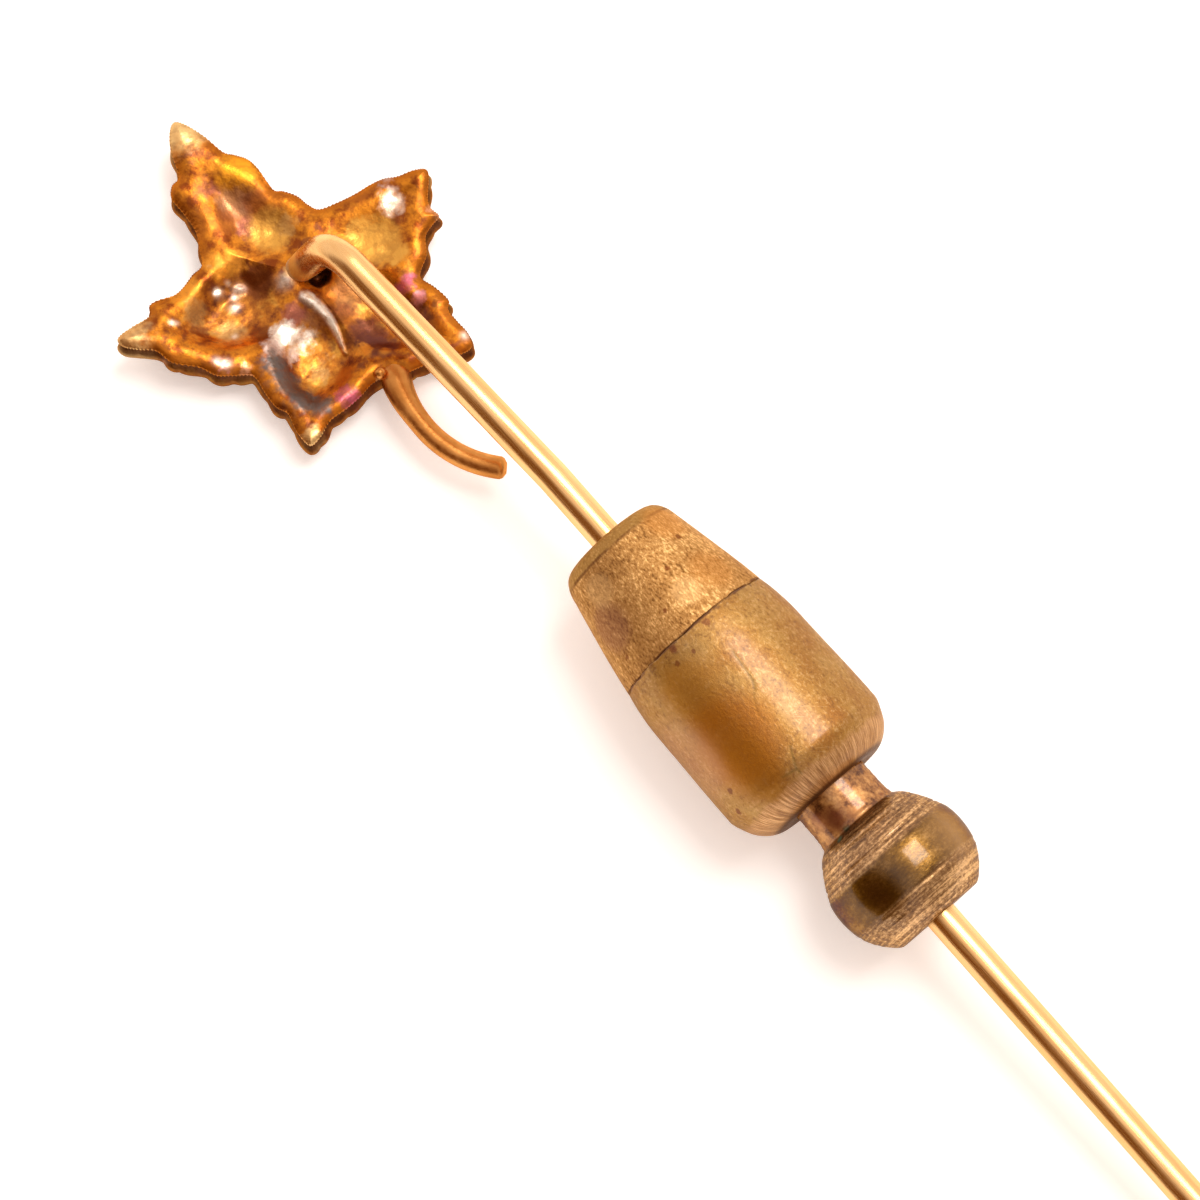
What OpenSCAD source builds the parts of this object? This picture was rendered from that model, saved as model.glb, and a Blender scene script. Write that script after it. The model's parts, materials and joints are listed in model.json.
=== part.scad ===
// Stick pin: a small hollow-backed leaf with a stalk, soldered to a long bent pin,
// and a turned brass clutch of a nose, a barrel and a pull knob that slides on the pin.
// Lengths are in millimetres. The pin lies leaf face down on a flat surface at z = 0.
// +X runs from the leaf to the point, +Z is up, and the origin is under the middle of the box.

/* [Pin] */
// Diameter of the wire at the leaf end
wire_d = 0.9; // [0.7:0.02:1.1]
// Diameter of the free stretch beyond the clutch
shaft_d = 0.88; // [0.7:0.02:1.1]
// Length of the free stretch, from the knob to the point
free_l = 32; // [20:1:45]
// Length of the tapered point
point_l = 6; // [3:0.5:10]
// Diameter of the blunt end of the point
point_d = 0.12; // [0.08:0.02:0.3]
// Slope of the shaft down to the point, in degrees
slope = 2.6; // [1:0.1:3]
// Bare wire between the slight set in the wire and the clutch
set_back = 2.3; // [2:0.1:5]
// Sideways set of the wire's leaf end, in degrees
set_turn = 2.2; // [0:0.1:3]
// Length of the straight wire from the set to the hook's bend
head_l = 7.9; // [6:0.1:14]
// Radius of the hook's bend, on the wire's centre line
hook_r = 1.2; // [0.9:0.05:1.4]
// Turn of the hook's bend, in degrees
hook_turn = 74; // [60:1:90]
// Sideways lean of the hook, in degrees
hook_lean = 21; // [0:1:30]

/* [Leaf] */
// Greatest reach of the leaf from the hook's foot
leaf_reach = 5.6; // [4:0.1:9]
// Depth of the hollows in the leaf's back
leaf_hollow = 1; // [0.5:0.05:1.2]
// Thickness of the metal under the hollows
leaf_sheet = 0.5; // [0.4:0.05:0.8]
// Height of the upright edge round the leaf
leaf_edge_h = 0.8; // [0.4:0.05:0.9]
// Drop of the leaf's middle below its rim
leaf_dish = 0.3; // [0.1:0.05:0.5]

/* [Stalk] */
// Diameter of the leaf's stalk
stalk_d = 0.64; // [0.4:0.02:0.9]
// Radius of the stalk's curve
stalk_r = 3.25; // [2.5:0.05:6]
// Heading of the stalk at its root in the leaf, in degrees
stalk_from = -41; // [-60:1:0]
// Turn of the stalk along its length, in degrees
stalk_turn = 86; // [40:1:100]

/* [Clutch nose] */
// Length of the nose, from its small end to the seam
nose_l = 3.45; // [2.5:0.05:5]
// Diameter of the nose at its small end, before rounding
nose_d = 3.5; // [2.8:0.1:4]
// Radius of the nose's rounded small end
nose_round = 0.5; // [0.3:0.05:0.6]
// Diameter of the nose at the seam
seam_d = 4.64; // [4.2:0.02:4.7]
// Open gap of the seam
seam_gap = 0.05; // [0.03:0.01:0.1]
// Length of the nose's hidden spigot in the barrel
spigot_l = 1.4; // [1:0.1:2]

/* [Clutch barrel] */
// Length of the barrel, from the seam to its lip
barrel_l = 5.35; // [5:0.05:8]
// Largest diameter of the barrel
barrel_d = 5; // [4.8:0.1:6]
// Diameter of the barrel at the seam
barrel_seam_d = 4.68; // [4.4:0.02:4.8]
// Length of the barrel's swelling from the seam to its largest diameter
swell_l = 2.4; // [1:0.1:3.5]
// Radius of the barrel's rounded lower end
barrel_round = 1.13; // [0.8:0.01:1.2]
// Thickness of the barrel's wall at the seam and the lip
barrel_wall = 0.45; // [0.35:0.05:0.6]

/* [Clutch knob] */
// Diameter of the knob's neck
neck_d = 2.26; // [1.8:0.02:2.4]
// Length of neck that shows between the barrel and the ball
neck_l = 1.15; // [0.8:0.05:1.5]
// Diameter of the ball
ball_d = 3.94; // [3.4:0.02:4.6]
// Diameter of the flat face at the ball's end
ball_flat_d = 2.2; // [1.6:0.1:2.6]
// Way that the knob pulls out
pull = 1; // [0.5:0.1:1.2]
// Length of the hidden collar that keeps the knob in the barrel
collar_l = 0.9; // [0.6:0.1:1.2]

/* [Fits] */
// Clearance round the wire in the clutch's bore
bore_gap = 0.04; // [0.02:0.01:0.08]
// Clearance between turned pieces that slide or seat in each other
fit_gap = 0.04; // [0.02:0.01:0.08]
// Way past the knob where the wire's taper ends and its true round stretch starts
knob_clear = 0.3; // [0.2:0.05:1]

/* [Hidden] */
$fn = 64;

// Outline of the leaf round the hook's foot, from the stalk on and towards +Y:
// bearing from +X in degrees, reach as a share of leaf_reach
leaf_outline = [
    [0, 0.72], [7, 0.78], [12, 0.815], [18, 0.88], [23, 0.96], [26, 0.975], [29, 0.93], [32, 0.855],
    [35, 0.80], [38.5, 0.79], [43, 0.71], [46.5, 0.645], [50, 0.635], [57, 0.67], [65, 0.685],
    [68.5, 0.73], [71, 0.78], [75, 0.76], [79, 0.77], [84, 0.82], [87.5, 0.845], [90, 0.81],
    [93, 0.725], [97, 0.665], [100, 0.60], [103.5, 0.51], [109, 0.435], [119, 0.365], [129, 0.375],
    [137, 0.41], [147, 0.44], [153, 0.46], [158, 0.585], [161, 0.645], [165, 0.685], [169, 0.725],
    [172, 0.835], [174.5, 0.925], [177, 0.98], [180, 0.955], [184, 0.875], [188.5, 0.76], [193, 0.755],
    [197, 0.72], [200, 0.625], [205, 0.535], [215, 0.48], [224, 0.455], [230, 0.495], [237, 0.54],
    [241.5, 0.60], [244, 0.715], [249, 0.74], [252, 0.80], [254, 0.915], [258, 0.875], [263, 0.77],
    [270, 0.755], [278, 0.675], [286, 0.65], [293, 0.60], [301, 0.57], [308, 0.635], [314, 0.705],
    [319, 0.74], [322, 0.83], [326, 0.91], [330, 0.87], [334, 0.80], [341, 0.765], [348, 0.735],
    [354, 0.71]
];
// Lobes of the leaf: bearings of the ribs on its two sides, lift of its tip as a share of leaf_hollow
lobes = [[-4, 50, 0], [50, 119, 0.1], [119, 224, 0.15], [224, 298, 0.5], [298, 356, 0]];
// Bearing of the stalk's root from the hook's foot, in degrees
stalk_bearing = 10;
// Rings of the leaf's surface, as shares of the way from its middle to its outline
rings = [0.14, 0.34, 0.54, 0.72, 0.86, 0.95, 1];
// Points of the outline for each row of its table
outline_steps = 2;
// Way that a cutting tool runs past the metal
cut = 1;

// Sizes of the clutch, measured along the shaft from the nose's small end
barrel_start = nose_l + seam_gap;
barrel_end = barrel_start + barrel_l;
ball_start = barrel_end + neck_l;
ball_mid = ball_start + sqrt(pow(ball_d / 2, 2) - pow(neck_d / 2, 2));
clutch_l = ball_mid + sqrt(pow(ball_d / 2, 2) - pow(ball_flat_d / 2, 2));
bore_d = max(wire_d, shaft_d) + 2 * bore_gap;
cavity_d = barrel_seam_d - 2 * barrel_wall;
collar_end = barrel_end - barrel_wall - pull - 2 * fit_gap;

// Stations of the wire along the shaft, from the nose's small end
taper_end = clutch_l + knob_clear;
point_start = clutch_l + free_l - point_l;
point_end = clutch_l + free_l;

// Heights above the surface: the shaft's centre line at the nose's small end, and the leaf's rim
rest_station = barrel_end - barrel_round;
shaft_z = barrel_d / 2 * cos(slope) + rest_station * sin(slope);
rim_z = leaf_hollow + leaf_sheet;

// Directions: along the shaft to the point, and down at right angles to it
shaft_way = [cos(slope), 0, -sin(slope)];
down_way = [-sin(slope), 0, -cos(slope)];

// Directions of the wire's leaf end: towards the hook, and down at right angles with the hook's lean
head_way = -cos(set_turn) * shaft_way - [0, sin(set_turn), 0];
hook_way = cos(hook_lean) * down_way
    + sin(hook_lean) * (sin(set_turn) * shaft_way - [0, cos(set_turn), 0]);

// Ends of the hook's bend and limb; the limb's foot lies half way into the leaf's middle
bend_end = [0, 0, shaft_z] - set_back * shaft_way
    + (head_l + hook_r * sin(hook_turn)) * head_way + hook_r * (1 - cos(hook_turn)) * hook_way;
limb_way = sin(hook_turn) * hook_way + cos(hook_turn) * head_way;
foot_z = rim_z - (leaf_dish + max(leaf_edge_h, leaf_sheet + leaf_dish)) / 2;
limb_l = (bend_end.z - foot_z) / -limb_way.z;
foot = bend_end + limb_l * limb_way;

// Middle of the box that the whole pin fills
leaf_x = [for (r = leaf_outline) foot.x + leaf_reach * r[1] * cos(r[0])];
leaf_y = [for (r = leaf_outline) foot.y + leaf_reach * r[1] * sin(r[0])];
middle_x = (min(leaf_x) + point_end * cos(slope) + point_d / 2 * sin(slope)) / 2;
middle_y = (min(leaf_y) + max(leaf_y)) / 2;

// Row of the outline's table with the index k, as a point, going round past its ends
function outline_row(k) =
    let (n = len(leaf_outline), r = leaf_outline[(k + n) % n])
    r[1] * [cos(r[0]), sin(r[0])];

// Smooth curve through four points, at the share t between the two in the middle
function curve_at(a, b, c, d, t) =
    0.5 * (2 * b + (c - a) * t + (2 * a - 5 * b + 4 * c - d) * pow(t, 2)
    + (3 * b - a - 3 * c + d) * pow(t, 3));

outline = [
    for (k = [0:len(leaf_outline) - 1], j = [0:outline_steps - 1])
    curve_at(outline_row(k - 1), outline_row(k), outline_row(k + 1), outline_row(k + 2), j / outline_steps)
];

// Bearing of a point from -3 to 357 degrees, and the lobe there
function bearing_of(p) =
    let (b = atan2(p.y, p.x))
    b < lobes[0][0] ? b + 360 : b;
function lobe_at(b) = [for (l = lobes) if (b >= l[0] && b < l[1]) l][0];

// 0 on the ribs between the lobes and at the leaf's middle, 1 along the lobes' own middles
function lobe_share(b, s) =
    let (l = lobe_at(b))
    pow(max(0, sin(180 * (b - l[0]) / (l[1] - l[0]))), 0.7) * min(1, s / 0.3);

// Height of the leaf's back and front at the bearing b and the share s of the way out
function lift_at(b, s) = lobe_at(b)[2] * leaf_hollow * lobe_share(b, 1) * pow(s, 4);
function back_z(b, s) =
    rim_z + lift_at(b, s) - leaf_dish * (1 - s)
    - leaf_hollow * lobe_share(b, s) * pow(max(0, sin(180 * pow(s, 0.8))), 0.6);
function front_z(b, s) =
    let (depth = max(leaf_sheet + leaf_dish * (1 - s), (leaf_hollow + leaf_sheet) * lobe_share(b, s)))
    rim_z + lift_at(b, s) - leaf_edge_h - max(0, depth - leaf_edge_h) * sqrt(1 - pow(s, 6));

// The leaf: a thin dished metal leaf, whose hollows in the back are domes on the front
module leaf() {
    n = len(outline);
    m = len(rings);
    back = [for (s = rings, p = outline) [s * leaf_reach * p.x, s * leaf_reach * p.y, back_z(bearing_of(p), s)]];
    front = [for (s = rings, p = outline) [s * leaf_reach * p.x, s * leaf_reach * p.y, front_z(bearing_of(p), s)]];
    middles = [[0, 0, rim_z - leaf_dish], [0, 0, rim_z - leaf_dish - leaf_sheet]];
    fans = [for (i = [0:n - 1]) each [[2 * n * m, (i + 1) % n, i], [2 * n * m + 1, n * m + i, n * m + (i + 1) % n]]];
    bands = [
        for (j = [0:m - 2], i = [0:n - 1])
        let (a = j * n + i, b = j * n + (i + 1) % n)
        each [[a, b, a + n], [b, b + n, a + n], [n * m + a, n * m + a + n, n * m + b],
            [n * m + b, n * m + a + n, n * m + b + n]]
    ];
    wall = [
        for (i = [0:n - 1])
        let (a = (m - 1) * n + i, b = (m - 1) * n + (i + 1) % n)
        each [[a, b, n * m + a], [b, n * m + b, n * m + a]]
    ];
    translate([foot.x, foot.y, 0])
    polyhedron(concat(back, front, middles), concat(fans, bands, wall), convexity = 6);
}

// The stalk: a round wire on an arc, from inside the leaf's rim to its cut end
module stalk() {
    root = lookup(stalk_bearing, leaf_outline) * leaf_reach - stalk_d;
    translate([foot.x + root * cos(stalk_bearing), foot.y + root * sin(stalk_bearing), rim_z - stalk_d / 2])
    rotate([0, 0, stalk_from - 90])
    translate([-stalk_r, 0, 0])
    rotate_extrude(angle = stalk_turn)
    translate([stalk_r, 0])
    circle(d = stalk_d, $fn = 32);
}

// Frame of the shaft: its origin is the centre of the nose's small end, and +Z runs to the point
module on_shaft() {
    translate([0, 0, shaft_z]) rotate([0, 90 + slope, 0]) children();
}

// Frame of the wire's leaf end: its origin is the set in the wire, +Z runs to the hook and +X down
module on_head() {
    on_shaft() translate([0, 0, -set_back]) rotate([180 - set_turn, 0, 0]) children();
}

// The wire: hook, leaf end, tapered stretch in the clutch, true round free stretch, point
module wire() {
    on_head() {
        sphere(d = wire_d);
        cylinder(d = wire_d, h = head_l);
        rotate([0, 0, hook_lean])
        translate([hook_r, 0, head_l])
        rotate([90, 0, 0])
        rotate([0, 0, 180 - hook_turn]) {
            rotate_extrude(angle = hook_turn) translate([hook_r, 0]) circle(d = wire_d, $fn = 32);
            translate([hook_r, 0, 0]) rotate([90, 0, 0]) cylinder(d = wire_d, h = limb_l);
        }
    }
    on_shaft()
    rotate_extrude()
    polygon([
        [0, -set_back], [wire_d / 2, -set_back], [shaft_d / 2, taper_end],
        [shaft_d / 2, point_start], [point_d / 2, point_end], [0, point_end]
    ]);
}

// Points of an arc in a turned profile: centre, radius and the two end angles
function arc(c, r, from, to, steps = 8) =
    [for (k = [0:steps]) let (t = from + (to - from) * k / steps) c + r * [cos(t), sin(t)]];

module leaf_pin() {
    color("goldenrod")
    translate([-middle_x, -middle_y, 0]) {
        leaf();
        stalk();
        wire();
    }
}

module clutch_nose() {
    spigot_r = cavity_d / 2 - fit_gap;
    outer = concat(
        [[0, 0], [nose_d / 2 - nose_round, 0]],
        arc([nose_d / 2 - nose_round, nose_round], nose_round, -90, -5),
        [[seam_d / 2, nose_l], [spigot_r, nose_l], [spigot_r, nose_l + spigot_l], [0, nose_l + spigot_l]]
    );
    color("darkgoldenrod")
    translate([-middle_x, -middle_y, 0])
    on_shaft()
    difference() {
        rotate_extrude() polygon(outer);
        translate([0, 0, -cut]) cylinder(d = bore_d, h = nose_l + spigot_l + 2 * cut);
    }
}

module clutch_barrel() {
    swell = (barrel_d - barrel_seam_d) / 2;
    lip_r = barrel_d / 2 - barrel_round;
    outer = concat(
        [[0, barrel_start]],
        [for (p = arc([0, 1], 1, -90, 0)) [barrel_seam_d / 2 + swell * p.x, barrel_start + swell_l * p.y]],
        arc([lip_r, barrel_end - barrel_round], barrel_round, 0, 90),
        [[0, barrel_end]]
    );
    color("peru")
    translate([-middle_x, -middle_y, 0])
    on_shaft()
    difference() {
        rotate_extrude() polygon(outer);
        translate([0, 0, barrel_start - cut])
        cylinder(d = cavity_d, h = barrel_l - barrel_wall + cut);
        translate([0, 0, barrel_start])
        cylinder(d = neck_d + 2 * fit_gap, h = barrel_l + cut);
    }
}

module clutch_knob() {
    color("sienna")
    translate([-middle_x, -middle_y, 0])
    on_shaft()
    difference() {
        union() {
            intersection() {
                translate([0, 0, ball_mid]) sphere(d = ball_d);
                translate([0, 0, ball_start]) cylinder(d = ball_d + cut, h = clutch_l - ball_start);
            }
            translate([0, 0, collar_end - collar_l]) cylinder(d = neck_d, h = ball_mid - collar_end + collar_l);
            translate([0, 0, collar_end - collar_l]) cylinder(d = cavity_d - 2 * fit_gap, h = collar_l);
        }
        cylinder(d = bore_d, h = clutch_l + cut);
    }
}

leaf_pin();
clutch_nose();
clutch_barrel();
clutch_knob();
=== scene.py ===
# Looks of the stick pin: a hollow-backed leaf soldered to a bent gold wire, and a turned brass clutch.
# Shapes are worked out in millimetres in the part's own frame, and become metres when a mesh is made.
import json
import math

import bmesh
import bpy
import numpy as np
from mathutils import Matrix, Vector, noise


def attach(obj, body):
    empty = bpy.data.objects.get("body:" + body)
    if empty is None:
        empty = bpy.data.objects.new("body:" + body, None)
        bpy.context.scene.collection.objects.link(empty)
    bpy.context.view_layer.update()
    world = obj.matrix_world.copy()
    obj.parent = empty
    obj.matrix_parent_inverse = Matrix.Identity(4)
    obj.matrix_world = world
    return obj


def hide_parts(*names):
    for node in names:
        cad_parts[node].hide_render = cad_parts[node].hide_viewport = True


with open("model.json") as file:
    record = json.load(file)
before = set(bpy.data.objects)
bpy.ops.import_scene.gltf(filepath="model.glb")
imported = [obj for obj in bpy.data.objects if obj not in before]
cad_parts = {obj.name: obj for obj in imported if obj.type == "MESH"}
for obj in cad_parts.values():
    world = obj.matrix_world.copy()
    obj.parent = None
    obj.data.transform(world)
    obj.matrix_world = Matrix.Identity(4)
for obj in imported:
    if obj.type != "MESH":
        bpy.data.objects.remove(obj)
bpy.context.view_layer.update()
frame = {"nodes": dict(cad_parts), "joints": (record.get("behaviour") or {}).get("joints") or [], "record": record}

MM = 0.001

# Camera, from the photograph's view: degrees, and millimetres from the middle of the view
CAMERA_AZIMUTH = 49.176
CAMERA_ELEVATION = 75
CAMERA_DISTANCE = 90
CAMERA_LENS = 98.55
# The surface's point in the middle of the view, from the clutch's small end
LOOK_ALONG = 0.501
LOOK_SIDE = -0.763
# Ways to the viewer and to the key light as seen: to the right, away along the surface, and up
VIEW_WAY = (0, -math.cos(math.radians(CAMERA_ELEVATION)), math.sin(math.radians(CAMERA_ELEVATION)))
KEY_WAY = (0.29, 0.25, 0.925)

# Sizes of the pin's wire: it is bent by SET_TURN at SET_BACK before the clutch, within SET_SOFT
WIRE_R = 0.45
SET_BACK = 2.3
SET_TURN = math.radians(2.2)
SET_SOFT = 0.6
HEAD_L = 8.0
HOOK_R = 1.2
HOOK_TURN = math.radians(74)
HOOK_LEAN = math.radians(17)
POINT_L = 6
POINT_R = 0.06
# How much thinner the wire is toward its foot, and the distances from there between which that fades
FOOT_THINNING = 0.25
FOOT_FADE = (-1.2, 1.6)
# Radii round the foot of the pale solder, which is also a painted highlight, and of the wire's bright orange tint,
# which is solder and partly a painted glow under the hook
SOLDER_R = 0.7
SOLDER_GLOW_R = 1.5

# Sizes of the leaf
LEAF_REACH = 5.6
LEAF_HOLLOW = 1.0
LEAF_SHEET = 0.5
LEAF_EDGE_H = 0.8
LEAF_DISH = 0.3
RIM_Z = LEAF_HOLLOW + LEAF_SHEET
# From the hook's foot to the middle that the leaf is drawn round
LEAF_SHIFT = np.array([0.04, -0.17, 0])

# Sizes of the leaf's stalk
STALK_R = 0.32
STALK_CURVE_R = 3.25
STALK_BEARING = math.radians(10)
STALK_FROM = math.radians(-41)
STALK_TURN = math.radians(86)
# How much thicker the stalk is at its root, as a share of its radius
STALK_ROOT_SPREAD = 0.45
# How far the stalk's root dips into the leaf
STALK_ROOT_SINK = 0.35
# Shares of the stalk's length where its spread and sink end, its root is round, and its end begins to be
STALK_SPREAD_END = 0.45
STALK_SINK_END = 0.14
STALK_ROOT_ROUND = 0.06
STALK_END_ROUND = 0.96
# The bead of solder beside the stalk's root: its place round the leaf's middle, radius and sink
BEAD_PLACE = (3.91, -0.07)
BEAD_R = 0.17
BEAD_SINK = 0.1

# Sizes of the clutch: radii, and stations from its small end
BORE_R = 0.49
BORE_START = 0.12
SEAM = 3.475
CAVITY_R = 1.89
CAVITY_START = 3.5
CAVITY_END = 8.4
SPIGOT_R = 1.85
SPIGOT_START = 3.46
SPIGOT_END = 4.8
NECK_R = 1.13
NECK_HOLE_R = 1.17
NECK_HOLE_END = 8.8
COLLAR_END = 7.0
KNOB_END = 13.18
KNOB_END_R = 1.28
# Outlines of the clutch's turned pieces: station and radius
NOSE_OUTLINE = [
    (0.02, 1.2), (0.05, 1.42), (0.14, 1.56), (0.28, 1.66), (0.46, 1.74), (0.8, 1.81),
    (1.56, 1.97), (2.53, 2.17), (3.1, 2.27), (3.473, 2.327),
]
BARREL_OUTLINE = [
    (3.479, 2.328), (3.81, 2.395), (4.24, 2.45), (4.66, 2.48), (5.93, 2.505), (7.0, 2.525),
    (7.62, 2.53), (7.85, 2.52), (8.1, 2.43), (8.42, 2.27), (8.65, 2.06), (8.79, 1.85), (8.86, 1.65),
    (8.87, 1.45),
]
NECK_OUTLINE = [(COLLAR_END, NECK_R), (9.6, NECK_R), (9.95, 1.18)]
BALL_OUTLINE = [
    (9.99, 1.22), (10.06, 1.34), (10.18, 1.46), (10.4, 1.61), (10.7, 1.8), (11.0, 1.95), (11.15, 2.005),
    (11.35, 2.045), (11.6, 2.065), (11.9, 2.05), (12.15, 2.01), (12.25, 1.985),
]
RING_OUTLINE = [(12.29, 1.965), (12.5, 1.885), (12.78, 1.71), (13.0, 1.51), (13.14, 1.36)]
# Where looks change along the clutch: the stations where each change begins and is full
NOSE_FACE = (0.5, 0.36)
LIP = (8.4, 8.6)
# LIP_EDGE is where the painted shade under the lip begins and is full.
LIP_EDGE = (8.74, 8.84)
NECK = (10.1, 9.9)
# Stations of the line of painted shade round the nose, of the ball's polished band and of its groove
NOSE_LINE = (0.41, 0.44)
BALL_BAND = (11.3, 12.25)
BALL_GROOVE = 10.84

# The shaft's frame: stations run from the clutch's small end to the point, angles from up towards +Y
joints = {joint["name"]: joint for joint in frame["joints"]}
WAY = np.array(joints["clutch_slide"]["axis"], float)
WAY /= np.linalg.norm(WAY)
SIDE = np.array([0.0, 1.0, 0.0])
UP = np.cross(WAY, SIDE)
shaft_mount = frame["record"]["mounts"][0]
ON_AXIS = np.array(shaft_mount["pos_m"]) / MM
SHAFT_R = shaft_mount["dims"]["r_mm"]


def reach_along(node):
    """How far a CAD node reaches along the shaft from the mount's middle, back and forward."""
    corners = np.array([vertex.co for vertex in frame["nodes"][node].data.vertices]) / MM
    along = (corners - ON_AXIS) @ WAY
    return along.min(), along.max()


# The clutch's small end, where stations start, and the stations of the wire's tip and the clutch's far end
TO_NOSE = reach_along("clutch_nose")[0]
NOSE_END = ON_AXIS + WAY * TO_NOSE
TIP = reach_along("leaf_pin")[1] - TO_NOSE
CLUTCH_L = reach_along("clutch_knob")[1] - TO_NOSE


def on_shaft(station, radius, angle):
    """Points round the shaft, in mm."""
    station, radius, angle = np.broadcast_arrays(station, radius, angle)
    around = np.cos(angle)[..., None] * UP + np.sin(angle)[..., None] * SIDE
    return NOSE_END + station[..., None] * WAY + radius[..., None] * around


def smooth(values, low, high):
    """0 below low, 1 above high, and a smooth step between."""
    t = np.clip((values - low) / (high - low), 0, 1)
    return t * t * (3 - 2 * t)


def lumps(points, size, seed, octaves=1):
    """Smooth noise from about -1 to 1 at each point, with lumps of that size in mm."""
    shift = Vector((7.3, 3.1, 5.7)) * seed
    scaled = (points / size).reshape(-1, 3)
    values = [noise.fractal(Vector(p) + shift, 1.0, 2.0, octaves) for p in scaled]
    return np.array(values).reshape(points.shape[:-1])


def curve_through(knots, steps):
    """A smooth open curve through the knots, with that many points to each stretch."""
    knots = np.array(knots, float)
    padded = np.vstack([2 * knots[0] - knots[1], knots, 2 * knots[-1] - knots[-2]])
    share = np.arange(steps)[:, None] / steps
    pieces = []
    for a, b, c, d in zip(padded, padded[1:], padded[2:], padded[3:]):
        bent = (2 * a - 5 * b + 4 * c - d) * share**2 + (3 * b - a - 3 * c + d) * share**3
        pieces.append(0.5 * (2 * b + (c - a) * share + bent))
    return np.vstack(pieces + [knots[-1:]])


def evenly(path, step):
    """The path's points, evenly spaced at about that step."""
    path = np.array(path, float)
    run = np.concatenate([[0], np.cumsum(np.linalg.norm(np.diff(path, axis=0), axis=1))])
    count = max(1, math.ceil(run[-1] / step))
    at = np.linspace(0, run[-1], count + 1)
    return np.stack([np.interp(at, run, column) for column in path.T], axis=1)


def add_to_scene(name, data):
    """A new object of the scene."""
    added = bpy.data.objects.new(name, data)
    bpy.context.scene.collection.objects.link(added)
    return added


def make_mesh(name, points, faces, material, body, *nodes, **attributes):
    """A smooth shaded piece from points in mm, which rides on a body and stands for CAD nodes."""
    mesh = bpy.data.meshes.new(name)
    mesh.from_pydata((np.asarray(points) * MM).tolist(), [], faces)
    work = bmesh.new()
    work.from_mesh(mesh)
    bmesh.ops.recalc_face_normals(work, faces=work.faces)
    work.to_mesh(mesh)
    work.free()
    mesh.shade_smooth()
    for attribute, values in attributes.items():
        layer = mesh.attributes.new(attribute, "FLOAT", "POINT")
        layer.data.foreach_set("value", np.asarray(values, float).ravel())
    mesh.materials.append(material)
    piece = add_to_scene(name, mesh)
    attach(piece, body)
    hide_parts(*nodes)


def grid_faces(rows, columns, closed_rows=False):
    """Four-sided faces of a grid of points, whose columns go round."""
    index = np.arange(rows * columns).reshape(rows, columns)
    if closed_rows:
        index = np.vstack([index, index[:1]])
    index = np.hstack([index, index[:, :1]])
    corners = (index[:-1, :-1], index[:-1, 1:], index[1:, 1:], index[1:, :-1])
    return np.stack(corners, axis=-1).reshape(-1, 4).tolist()


def tube(path, radii, sides):
    """Points and faces of a round wire along a path, with flat ends."""
    path = np.array(path, float)
    radii = np.broadcast_to(radii, len(path))
    ways = np.gradient(path, axis=0)
    ways /= np.linalg.norm(ways, axis=1)[:, None]
    across = np.cross(ways[0], [0.3, 0.9, 0.1])
    turn = np.linspace(0, 2 * math.pi, sides, endpoint=False)[:, None]
    rings = []
    for centre, way, radius in zip(path, ways, radii):
        across = across - way * (across @ way)
        across /= np.linalg.norm(across)
        rings.append(centre + radius * (np.cos(turn) * across + np.sin(turn) * np.cross(way, across)))
    faces = grid_faces(len(path), sides)
    last = (len(path) - 1) * sides
    faces.append(list(range(sides))[::-1])
    faces.append([last + k for k in range(sides)])
    return np.vstack(rings), faces


# Materials


class Nodes:
    """A node tree, with short calls for the nodes used here."""

    def __init__(self, tree):
        self.tree = tree

    def put(self, socket, value):
        """Links a value into a socket, or sets it there if it is a plain one."""
        if isinstance(value, bpy.types.NodeSocket):
            self.tree.links.new(value, socket)
        else:
            socket.default_value = value

    def node(self, kind, *inputs, **properties):
        """A new shader node with its properties, and values for its first inputs."""
        node = self.tree.nodes.new("ShaderNode" + kind)
        for name, value in properties.items():
            setattr(node, name, value)
        for socket, value in zip(node.inputs, inputs):
            self.put(socket, value)
        return node

    def math(self, operation, a, b):
        return self.node("Math", a, b, operation=operation).outputs[0]

    def product(self, a, b):
        return self.math("MULTIPLY", a, b)

    def share_of(self, a, share, b):
        """The share of value a and the rest of value b."""
        return self.math("ADD", self.product(a, share), self.product(b, 1 - share))

    def vector(self, operation, a, b):
        return self.node("VectorMath", a, b, operation=operation).outputs[0]

    def times(self, vector, scale):
        return self.vector("MULTIPLY", vector, (scale, scale, scale))

    def noise(self, where, detail=3.0, roughness=0.55, seed=0.0, output="Fac"):
        node = self.node("TexNoise", where, seed, 1.0, detail, roughness, noise_dimensions="4D")
        return node.outputs[output]

    def step(self, value, low, high, to_low=0.0, to_high=1.0):
        """The value turned from low..high to to_low..to_high, smoothly."""
        limits = (low, high, to_low, to_high)
        return self.node("MapRange", value, *limits, interpolation_type="SMOOTHSTEP").outputs[0]

    def band(self, value, low, high, soft):
        """1 between low and high, and 0 from soft beyond them."""
        return self.product(self.step(value, low - soft, low), self.step(value, high, high + soft, 1, 0))

    def ramp(self, value, *stops):
        """A colour ramp through (place, colour) stops."""
        node = self.node("ValToRGB", value)
        elements = node.color_ramp.elements
        while len(elements) < len(stops):
            elements.new(0.5)
        for element, (at, colour) in zip(elements, stops):
            element.position = at
            element.color = (*colour, 1)
        return node.outputs["Color"]

    def mix(self, share, a, b, kind="RGBA"):
        """Colour a turned towards colour b by the share, or value a towards value b for kind VALUE."""
        node = self.node("Mix", share, data_type="FLOAT" if kind == "VALUE" else kind)
        ends = [socket for socket in node.inputs if socket.type == kind][-2:]
        for socket, value in zip(ends, (a, b)):
            self.put(socket, (*value, 1) if isinstance(value, tuple) else value)
        return next(socket for socket in node.outputs if socket.type == kind)


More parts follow.
